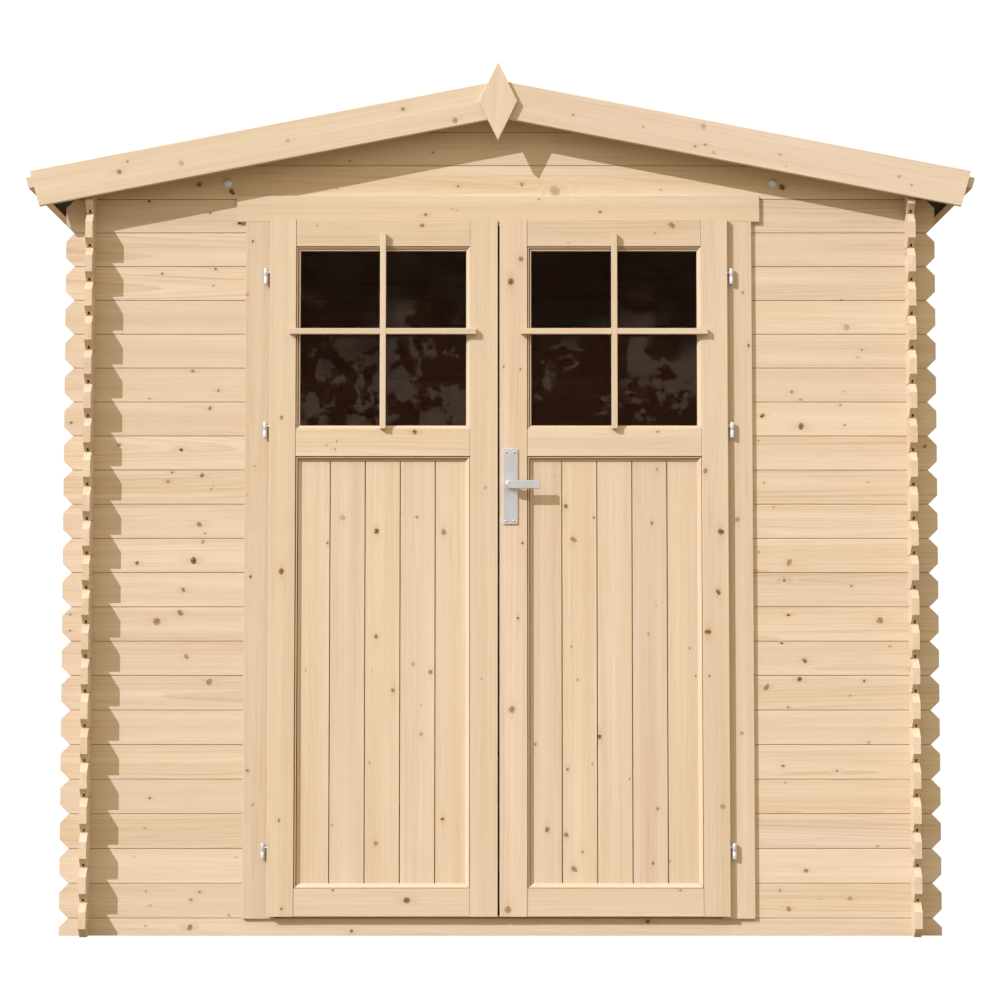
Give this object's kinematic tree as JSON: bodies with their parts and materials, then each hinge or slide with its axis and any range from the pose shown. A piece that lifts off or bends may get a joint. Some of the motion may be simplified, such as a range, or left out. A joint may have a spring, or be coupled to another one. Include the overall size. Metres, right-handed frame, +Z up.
{
  "type": "wooden garden shed",
  "caption": "Small gabled garden shed of stacked boards with notched, chamfered board ends, a low felted roof and a half-glazed double door.",
  "frame": {"origin": "bottom centre of the shed's bounding box, on the ground plane inside the walls", "axes": "+Z up, the doors face -Y, +X to the right seen from the doors' side"},
  "size_m": [2.4954, 2.058, 2.283],
  "materials": {
    "wall_boards": "planed untreated spruce, knots",
    "roof_boards": "planed untreated spruce",
    "roof_felt": "mineral-faced bitumen felt",
    "roof_trim": "planed untreated spruce",
    "roof_beams": "planed untreated spruce",
    "door_frame": "planed untreated spruce",
    "door_leaves": "planed untreated spruce",
    "window_glass": "clear, dark interior behind",
    "zinc_steel": "zinc plated",
    "satin_steel": "satin"
  },
  "bodies": {
    "house": {"front_wall_left": "wall_boards", "front_wall_right": "wall_boards", "front_sill_board": "wall_boards", "front_lintel_board": "wall_boards", "front_gable": "wall_boards", "back_wall": "wall_boards", "back_gable": "wall_boards", "left_wall": "wall_boards", "right_wall": "wall_boards", "roof_boards_left": "roof_boards", "roof_boards_right": "roof_boards", "roof_felt": "roof_felt", "eave_battens": "roof_trim", "bargeboard_front_left": "roof_trim", "bargeboard_front_right": "roof_trim", "bargeboard_back_left": "roof_trim", "bargeboard_back_right": "roof_trim", "finial_front": "roof_trim", "finial_back": "roof_trim", "ridge_purlin": "roof_beams", "side_purlins": "roof_beams", "door_jambs": "door_frame", "door_head_jamb": "door_frame", "door_casing_left": "door_frame", "door_casing_right": "door_frame", "door_head_trim": "door_frame", "gable_bolts": "zinc_steel", "hinge_frame_halves": "zinc_steel"},
    "left_leaf": {"left_leaf_outer_stile": "door_leaves", "left_leaf_meeting_stile": "door_leaves", "left_leaf_rails": "door_leaves", "left_leaf_panel": "door_leaves", "left_leaf_glazing_bars": "door_leaves", "left_leaf_glass": "window_glass", "left_leaf_hinge_knuckles": "zinc_steel"},
    "right_leaf": {"right_leaf_outer_stile": "door_leaves", "right_leaf_meeting_stile": "door_leaves", "right_leaf_rails": "door_leaves", "right_leaf_panel": "door_leaves", "right_leaf_glazing_bars": "door_leaves", "right_leaf_glass": "window_glass", "right_leaf_hinge_knuckles": "zinc_steel", "right_leaf_lock_faceplate": "zinc_steel", "right_leaf_handle_plates": "satin_steel"},
    "lever": {"lever_handle": "satin_steel"}
  },
  "joints": [
    {"name": "left_door_hinge", "type": "hinge", "parent": "house", "child": "left_leaf", "pos_m": [-0.6185, -0.959, 1], "axis": [0, 0, -1], "range_deg": [0, 165]},
    {"name": "right_door_hinge", "type": "hinge", "parent": "house", "child": "right_leaf", "pos_m": [0.6095, -0.959, 1], "axis": [0, 0, 1], "range_deg": [0, 165]},
    {"name": "lever_turn", "type": "hinge", "parent": "right_leaf", "child": "lever", "pos_m": [0.025, -0.965, 1.174], "axis": [0, 1, 0], "range_deg": [0, 40], "stiffness_Nm_per_rad": 1, "springref_deg": -28.65}
  ]
}
